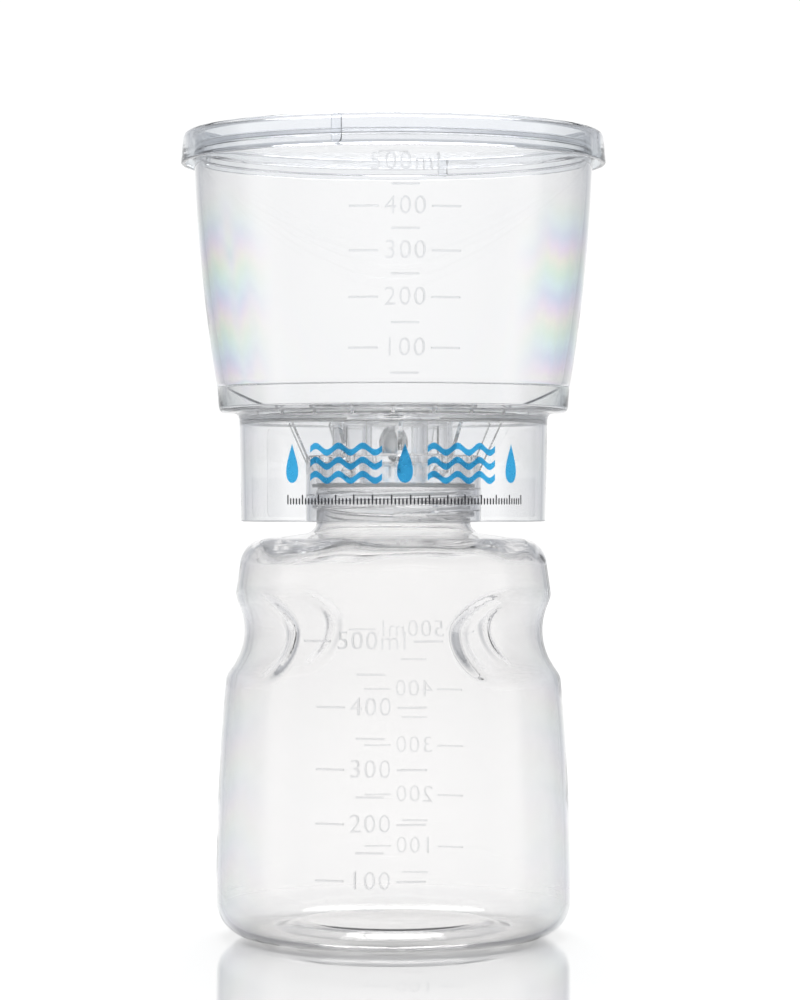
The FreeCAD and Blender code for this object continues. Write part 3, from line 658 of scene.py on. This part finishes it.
def shape_wall(radius, height, angle):
    """Makes the wall uneven inside the shoulder, as a blown one is, and presses two thumb hollows in."""
    above = height - SHOULDER_HEIGHT
    beyond_neck = radius - NECK_RADIUS - NECK_FILLET
    from_corner = math.hypot(max(radius - SHOULDER_RADIUS + SHOULDER_ROUND, 0.0), above)
    if beyond_neck > 0 and above > 0 and from_corner < SHOULDER_ROUND - WALL / 2:
        across, along = SWIRL_SCALE * math.cos(angle), SWIRL_SCALE * math.sin(angle)
        swirl = noise.noise((across, along, radius / 7))
        fade = smooth_step(above / SWIRL_FADE) * smooth_step(beyond_neck / SWIRL_FADE)
        return radius, height - SWIRL * (0.5 + swirl) * fade
    if radius < THUMB_FLOOR - 5 or abs(height - THUMB_HEIGHT) > THUMB_SECTION:
        return radius, height
    inner = WALL if radius < side_radius(height) - WALL / 2 else 0.0
    section = THUMB_SECTION + inner
    away = min(abs(height - THUMB_HEIGHT), section)
    floor = THUMB_FLOOR - inner + section - math.sqrt(section**2 - away**2)
    share = max(THUMB_BLEND - abs(radius - floor), 0.0) / THUMB_BLEND
    pressed = min(radius, floor) - share * share * THUMB_BLEND / 4
    from_side = abs((math.degrees(angle - THUMB_TURN) + 90) % 180 - 90)
    narrowing = THUMB_NARROWING_BELOW if height < THUMB_WIDEST else THUMB_NARROWING_ABOVE
    half_angle = THUMB_HALF_ANGLE + 1 + inner - narrowing * (height - THUMB_WIDEST) ** 2
    inside = smooth_step((half_angle - from_side) / THUMB_END)
    seam = 0.0 if inner else SEAM * max(1 - from_side / SEAM_HALF_ANGLE, 0.0)
    return radius + (pressed - radius) * inside + seam, height


def make_bottle():
    bm = bmesh.new()
    figures = bmesh.new()
    add_lathe(bm, bottle_outline(), segments=360, move=shape_wall)
    for angle in (FRONT + THUMB_TURN, BACK + THUMB_TURN):
        add_scale(figures, BOTTLE_MARKS, BOTTLE_LOW_MARK, angle, side_radius)
    add_thread(bm, NECK_RADIUS - 0.2, NECK_RADIUS + 1.15, start=MOUTH - 8.2, width=2.4)
    return finish_piece("bottle_clear", bm, "bottle", ["bottle"], clear_bottle, figures)


# ---------------------------------------------------------------- filter base
SPOUT_RADIUS = 9.3
MOULDED_WALL = 1.4
LAND = 5.8
CEILING = SEAL + LAND
GALLERY_FLOOR = CEILING + 2.0
FLOOR = GALLERY_FLOOR + 9.0
FLOOR_TOP = FLOOR + 2.0
GALLERY_RADIUS = 17.0
COLLAR_RADIUS = 24.0
COLLAR_BORE = 22.8
SKIRT_RADIUS = 42.2
SKIRT_TAPER = 0.55
LEDGE = MEMBRANE_SEAT - 1.5
CUP_RADIUS = 48.2
CUP_TAPER = 0.5
CUP_INSIDE = 46.2
WEB_FOOT = CEILING - 3.1
PORT_RADIUS = 5.4
PORT_BORE = 4.0
PORT_REACH = 44.5
SPOUT_END = CEILING - 6.2
SKIRT_WALL = SKIRT_RADIUS - MOULDED_WALL
LAND_INSIDE = NECK_RADIUS - 2.6
GALLERY_WALL = GALLERY_RADIUS - MOULDED_WALL
VENT_RADIUS = 1.5
VENTS = 4
WEBS = 12
WEB_TURN = 3.6
WEB_THICKNESS = 1.2
WEB_TIP = 32.5
WEB_HEEL = 25.4
DRAIN_RIBS = 24
PIP_RADIUS = 1.9
PIP_ANGLE = 30
BITE = 1.0  # how far an added or cut form reaches past the face that it meets


def base_outline():
    bore = SPOUT_RADIUS - MOULDED_WALL
    skirt_foot = SKIRT_RADIUS - SKIRT_TAPER
    corners = [
        (bore, SPOUT_END), (bore, FLOOR_TOP, 1.2),
        (SKIRT_WALL, FLOOR_TOP), (SKIRT_WALL, MEMBRANE_SEAT),
        (CUP_INSIDE, MEMBRANE_SEAT), (CUP_INSIDE, CUP_TOP, 0.3), (CUP_RADIUS, CUP_TOP, 0.4),
        (CUP_RADIUS - CUP_TAPER, LEDGE, 1.8), (SKIRT_RADIUS, LEDGE, 2.0),
        (skirt_foot, SKIRT_BOTTOM, 0.3), (skirt_foot - MOULDED_WALL, SKIRT_BOTTOM, 0.3),
        (SKIRT_WALL, FLOOR, 0.8), (GALLERY_RADIUS, FLOOR, 0.6),
        (GALLERY_RADIUS, GALLERY_FLOOR), (COLLAR_RADIUS, GALLERY_FLOOR, 0.6),
        (COLLAR_RADIUS, SKIRT_BOTTOM, 0.3), (COLLAR_BORE, SKIRT_BOTTOM, 0.3), (COLLAR_BORE, CEILING),
        (NECK_RADIUS, CEILING), (NECK_RADIUS, SEAL), (LAND_INSIDE, SEAL), (LAND_INSIDE, CEILING),
        (SPOUT_RADIUS, CEILING), (SPOUT_RADIUS, SPOUT_END),
    ]
    return rounded(corners)


def tube(radius, start, end, matrix, segments=64):
    """A plain cylinder along the matrix's Z."""
    bm = bmesh.new()
    add_lathe(bm, [(0, start), (radius, start), (radius, end), (0, end)], segments)
    bm.transform(matrix)
    return bm


def plate(outline, thickness, turn):
    bm = bmesh.new()
    add_prism(bm, outline, thickness, Matrix.Rotation(turn, 4, "Z"))
    return bm


def along_port(start):
    """Turns Z towards the back, on the vacuum port's axis."""
    return Matrix.Translation((0, start * MM, PORT_AXIS * MM)) @ Matrix.Rotation(-math.pi / 2, 4, "X")


def make_filter_base():
    base = bmesh.new()
    add_lathe(base, base_outline())
    gallery = [(SPOUT_RADIUS, GALLERY_FLOOR), (GALLERY_WALL, GALLERY_FLOOR)]
    gallery += [(GALLERY_WALL, FLOOR), (SPOUT_RADIUS, FLOOR)]
    add_lathe(base, rounded(gallery), cavity=True)
    web_inside, collar_inside = GALLERY_RADIUS - 0.7, COLLAR_RADIUS - 0.6
    web = [(web_inside, GALLERY_FLOOR - BITE), (web_inside, FLOOR + 0.6), (WEB_TIP, FLOOR + 0.6)]
    web += [(WEB_TIP, FLOOR), (WEB_HEEL, WEB_FOOT)]
    web += [(collar_inside, WEB_FOOT), (collar_inside, GALLERY_FLOOR - BITE)]
    rib_end, rib_low, rib_high = SKIRT_RADIUS - 1.0, FLOOR_TOP - 0.4, MEMBRANE_SEAT - 0.02
    rib = [(SPOUT_RADIUS, rib_low), (rib_end, rib_low), (rib_end, rib_high), (SPOUT_RADIUS, rib_high)]
    turns = [FRONT + math.radians(WEB_TURN + 360 / WEBS * k) for k in range(WEBS)]
    added = [plate(web, WEB_THICKNESS, turn) for turn in turns]
    added += [plate(rib, 1.0, TURN * k / DRAIN_RIBS) for k in range(DRAIN_RIBS)]
    towards_back = along_port(0)
    added.append(tube(PORT_RADIUS, GALLERY_WALL, PORT_REACH, towards_back, 96))
    for side in (-1, 1):
        angle = FRONT + side * math.radians(PIP_ANGLE)
        x, y = COLLAR_RADIUS * math.cos(angle), COLLAR_RADIUS * math.sin(angle)
        place = Matrix.Translation((x * MM, y * MM, (CEILING - 2.8) * MM))
        size = PIP_RADIUS * MM
        pip = bmesh.new()
        bmesh.ops.create_uvsphere(pip, u_segments=32, v_segments=20, radius=size, matrix=place)
        added.append(pip)
    base = joined(base, added, "UNION")
    cut = [tube(PORT_BORE, GALLERY_WALL - MOULDED_WALL, PORT_REACH + BITE, towards_back, 96)]
    vent_circle = (SPOUT_RADIUS + GALLERY_WALL) / 2
    for k in range(VENTS):
        angle = TURN * (k + 0.5) / VENTS
        x, y = vent_circle * math.cos(angle), vent_circle * math.sin(angle)
        place = Matrix.Translation((x * MM, y * MM, 0))
        cut.append(tube(VENT_RADIUS, CEILING - BITE, GALLERY_FLOOR + BITE, place, 32))
    base = joined(base, cut, "DIFFERENCE")
    add_thread(base, COLLAR_BORE + 0.2, COLLAR_BORE - 0.9, start=MOUTH - 6.2, width=2.2)
    return finish_piece("filter_base_clear", base, "head", ["filter_base"], clear_base)


# ---------------------------------------------------------------- funnel, membrane and gasket
FUNNEL_FOOT = 48.3
FUNNEL_TOP = 54.5
FUNNEL_BOW = 494.0
BEAD_FOOT = RIM - 2.4
WELD = 0.05
FUNNEL_SEAT = CUP_TOP - WELD
FUNNEL_MARK_DROPS = [("500ml", 7.5), ("400", 18.8), ("300", 30.3), ("200", 42.3), ("100", 55.4)]
FUNNEL_LOW_DROP = 61.9
FUNNEL_SCALE_TURN = 0.06
MEMBRANE_RADIUS = 45.0


def funnel_radius(height):
    """The funnel's outer radius between cup and rim bead."""
    run = Vector((FUNNEL_TOP - FUNNEL_FOOT, BEAD_FOOT - FUNNEL_SEAT))
    share = (height - FUNNEL_SEAT) / run.y
    bulge = run.length**2 / (8 * FUNNEL_BOW) * 4 * share * (1 - share)
    return FUNNEL_FOOT + run.x * share + bulge


def funnel_outline():
    """The wall's section: its foot in the cup, up the outside, over the rim bead and down the inside."""
    spigot = CUP_INSIDE + WELD
    inside = FUNNEL_TOP - MOULDED_WALL
    bead = FUNNEL_TOP + 0.6
    points = [(spigot - 0.35, MEMBRANE_TOP), (spigot, MEMBRANE_TOP), (spigot, FUNNEL_SEAT)]
    points += [(FUNNEL_FOOT - 0.3, FUNNEL_SEAT), (FUNNEL_FOOT, FUNNEL_SEAT + 0.3)]
    points += arc(points[-1], (FUNNEL_TOP, BEAD_FOOT), FUNNEL_BOW, -1, 60)
    points += [(FUNNEL_TOP + 0.5, BEAD_FOOT + 0.5), (bead, BEAD_FOOT + 0.9), (bead, RIM - 0.4)]
    points += [(FUNNEL_TOP + 0.2, RIM), (inside + 0.4, RIM), (inside, RIM - 0.4), (inside, BEAD_FOOT)]
    points += arc(points[-1], (spigot - 0.35, CUP_TOP - 0.5), FUNNEL_BOW, 1, 60)
    return points


def make_funnel():
    bm = bmesh.new()
    figures = bmesh.new()
    add_lathe(bm, funnel_outline(), segments=320)
    marks = [(text, RIM - drop) for text, drop in FUNNEL_MARK_DROPS]
    add_scale(figures, marks, RIM - FUNNEL_LOW_DROP, FRONT + FUNNEL_SCALE_TURN, funnel_radius)
    return finish_piece("funnel_clear", bm, "head", ["funnel"], clear_funnel, figures)


def make_membrane():
    """A thin white disc with a slightly ragged cut edge."""
    bm = bmesh.new()
    edge = MEMBRANE_RADIUS

    def ragged(radius, height, angle):
        if radius < edge - 0.5:
            return radius, height
        nick = 0.5 + noise.noise((9 * math.cos(angle), 9 * math.sin(angle), 0))
        return radius - 0.35 * nick, height

    low, high = MEMBRANE_SEAT + AIR, MEMBRANE_TOP - AIR
    section = [(0, low), (edge - 1, low), (edge, low), (edge, high), (edge - 1, high), (0, high)]
    add_lathe(bm, section, 360, move=ragged)
    return finish_piece("membrane_white", bm, "head", ["membrane"], white_membrane)


def make_gasket():
    bm = bmesh.new()
    low, high = MOUTH + AIR, SEAL - AIR
    inside, outside = LAND_INSIDE + AIR, COLLAR_BORE - 0.5
    section = [(inside, low), (outside, low), (outside, high), (inside, high)]
    add_lathe(bm, rounded(section, 0.2))
    return finish_piece("neck_gasket_ring", bm, "seal", ["neck_gasket"], silicone)


# ---------------------------------------------------------------- lid
PANEL_RISE = 1.3
LID_RISE = 4.1
LID_INSIDE = 56.8
LID_LIP = 58.1
RING_OUTSIDE = 54.6
RING_INSIDE = 53.3
LID_RIBS = 4
LID_RIB_TURN = -15
LID_RIB_CENTRE = 56.1


def lid_outline():
    """The lid's section: under the panel, down inside the skirt, up outside it and in over the ring."""
    panel_top = RIM + PANEL_RISE
    lid_top = panel_top + LID_RISE
    step = lid_top - 1.3
    corners = [
        (0, RIM + AIR), (RING_OUTSIDE, RIM + AIR), (RING_OUTSIDE, step, 0.5), (55.9, step, 0.5),
        (LID_INSIDE, LID_BOTTOM, 0.3), (LID_LIP, LID_BOTTOM, 0.5),
        (57.4, lid_top, 2.2), (RING_INSIDE, lid_top, 0.5), (RING_INSIDE - 0.3, panel_top, 0.5),
        (4.0, panel_top, 0.3), (2.8, panel_top - 0.35, 1.0), (0, panel_top - 0.6),
    ]
    return rounded(corners)


def make_lid():
    bm = bmesh.new()
    add_lathe(bm, lid_outline(), segments=320)
    foot, top, half = LID_BOTTOM + 2.0, RIM + 4.6, 1.3
    section = [(-half, top), (-half, foot)]
    bends = [math.pi * k / 8 for k in range(1, 8)]
    section += [(-half * math.cos(t), foot - half * math.sin(t)) for t in bends]
    section += [(half, foot), (half, top)]
    out = Matrix.Translation((LID_RIB_CENTRE * MM, 0, 0)) @ Matrix.Rotation(math.pi / 2, 4, "Z")
    for k in range(LID_RIBS):
        turn = Matrix.Rotation(math.radians(LID_RIB_TURN + 360 / LID_RIBS * k), 4, "Z")
        add_prism(bm, section, 1.3, turn @ out)
    return finish_piece("lid_clear", bm, "lid", ["lid"], clear_lid)


# ---------------------------------------------------------------- vacuum port
BARBS = 3
PLUG_RADIUS = 3.9
TUFTS = 0.35


def make_connector():
    bm = bmesh.new()
    depth, flange, stem, barb, land, length = 8.0, 5.4, 2.9, 3.9, 1.0, 3.6
    nipple = depth + 1.4
    bore, seat = 1.6, PORT_BORE - 0.05
    corners = [(bore, 0), (seat, 0), (seat, depth), (flange, depth), (flange, nipple)]
    for k in range(BARBS):
        foot = nipple + k * length
        corners += [(barb, foot, 0.15), (barb, foot + land, 0.3), (stem, foot + length, 0.1)]
    corners += [(bore, nipple + BARBS * length)]
    add_lathe(bm, rounded(corners, 0.25), segments=96)
    bm.transform(along_port(CONNECTOR_START))
    name = "hose_connector_barbed"
    return finish_piece(name, bm, "head", ["hose_connector"], connector_plastic)


def make_plug():
    """A loose cotton plug: a soft cylinder with a tufted surface."""
    bm = bmesh.new()
    length = PLUG_END - PLUG_START

    def tufted(radius, height, angle):
        place = (radius * math.cos(angle), radius * math.sin(angle), height)
        return radius - TUFTS * abs(noise.noise(Vector(place) * 1.3)) * (radius > 1), height

    side = [(PLUG_RADIUS, 0.8 + (length - 1.6) * k / 24) for k in range(25)]
    outline = [(0, 0), (2, 0), (3.3, 0.2), *side, (3.3, length - 0.2), (2, length), (0, length)]
    add_lathe(bm, outline, segments=72, move=tufted)
    bm.transform(along_port(PLUG_START))
    return finish_piece("cotton_plug", bm, "head", ["air_filter_plug"], cotton)


# ---------------------------------------------------------------- labels
FILM_LIFT = 0.03
FILM_THICKNESS = 0.1
LABEL_CORNER = 1.8
LABEL_TURN = math.radians(6.3)
LABEL_WRAP = 118
BACK_LABEL_WRAP = 154
PRINT_LIFT = 0.15
BLUE_THICKNESS = 0.05
DARK_THICKNESS = 0.04
DROP_PLACES = (-33.5, -1.5, 30.5)
WAVE_STARTS = (-27.5, 4.5)
WAVE_LEVELS = (-3.7, 0.0, 3.7)
WAVE_LENGTH = 20
WAVE_WIDTH = 1.7
TICKS = 71


def skirt_radius(height):
    share = (LEDGE - 2.0 - height) / (LEDGE - 2.0 - SKIRT_BOTTOM)
    return SKIRT_RADIUS - SKIRT_TAPER * share


def add_patch(bm, outline, angle, height, lift, thickness):
    """A thin plate with a flat outline of (x, y), wrapped on the skirt."""
    flat = bmesh.new()
    corners = [flat.verts.new((x, y, 0)) for x, y in outline]
    flat.faces.new(corners)
    xs = [p[0] for p in outline]
    step = 1.5
    cut = min(xs) + step
    while cut < max(xs):
        geometry = list(flat.verts) + list(flat.edges) + list(flat.faces)
        bmesh.ops.bisect_plane(flat, geom=geometry, plane_co=(cut, 0, 0), plane_no=(1, 0, 0))
        cut += step
    plate = bmesh.ops.extrude_face_region(flat, geom=list(flat.faces))
    raised = {v for v in plate["geom"] if isinstance(v, bmesh.types.BMVert)}
    for v in flat.verts:
        level = height + v.co.y
        radius = skirt_radius(level) + lift + (thickness if v in raised else 0.0)
        around = angle + v.co.x / skirt_radius(level)
        v.co = (radius * MM * math.cos(around), radius * MM * math.sin(around), level * MM)
    bmesh.ops.recalc_face_normals(flat, faces=list(flat.faces))
    held = bpy.data.meshes.new("patch")
    flat.to_mesh(held)
    flat.free()
    bm.from_mesh(held)
    bpy.data.meshes.remove(held)


def rounded_box(width, height, radius, steps=5, x=0.0, y=0.0):
    points = []
    for cx, cy, first in ((1, 1, 0), (-1, 1, 1), (-1, -1, 2), (1, -1, 3)):
        for k in range(steps + 1):
            t = (first + k / steps) * math.pi / 2
            across = x + cx * (width / 2 - radius) + radius * math.cos(t)
            up = y + cy * (height / 2 - radius) + radius * math.sin(t)
            points.append((across, up))
    return points


def make_label(name, node, angle, wrap, top):
    bm = bmesh.new()
    width = math.radians(wrap) * SKIRT_RADIUS
    outline = rounded_box(width, top - LABEL_BOTTOM, LABEL_CORNER)
    add_patch(bm, outline, angle, (LABEL_BOTTOM + top) / 2, FILM_LIFT, FILM_THICKNESS)
    return finish_piece(name, bm, "head", [node], film)


def make_print():
    """Generic marks in the label's two colours: blue drops and waves, and a row of dark ruler ticks."""
    blue = bmesh.new()
    angle = FRONT + LABEL_TURN
    middle = LABEL_TOP - 9.3
    turns = [TURN * k / 28 for k in range(28)]
    drop = [(3.0 * math.sin(t) * math.sin(t / 2) ** 1.5, 5.2 * math.cos(t)) for t in turns]
    for x in DROP_PLACES:
        placed = [(x + px, py) for px, py in drop]
        add_patch(blue, placed, angle, middle, PRINT_LIFT, BLUE_THICKNESS)
    for start in WAVE_STARTS:
        for y in WAVE_LEVELS:
            run = [start + WAVE_LENGTH * k / 40 for k in range(41)]
            upper = [(x, y + 0.8 + 0.9 * math.sin((x - start) * 0.95)) for x in run]
            lower = [(x, level - WAVE_WIDTH) for x, level in upper]
            add_patch(blue, lower + upper[::-1], angle, middle, PRINT_LIFT, BLUE_THICKNESS)
    finish_piece("label_marks_blue", blue, "head", [], blue_ink)
    dark = bmesh.new()
    for k in range(TICKS):
        tall = 2.6 if k % 5 == 0 else 1.7
        tick = rounded_box(0.42, tall, 0.15, steps=1, x=k - (TICKS - 1) / 2, y=tall / 2)
        add_patch(dark, tick, angle, LABEL_BOTTOM + 3.4, PRINT_LIFT, DARK_THICKNESS)
    finish_piece("label_marks_dark", dark, "head", [], dark_ink)


make_bottle()
make_gasket()
make_filter_base()
make_connector()
make_plug()
make_membrane()
make_funnel()
make_lid()
make_label("front_label_film", "front_label", FRONT + LABEL_TURN, LABEL_WRAP, LABEL_TOP)
make_label("back_label_film", "back_label", BACK, BACK_LABEL_WRAP, BACK_LABEL_TOP)
make_print()
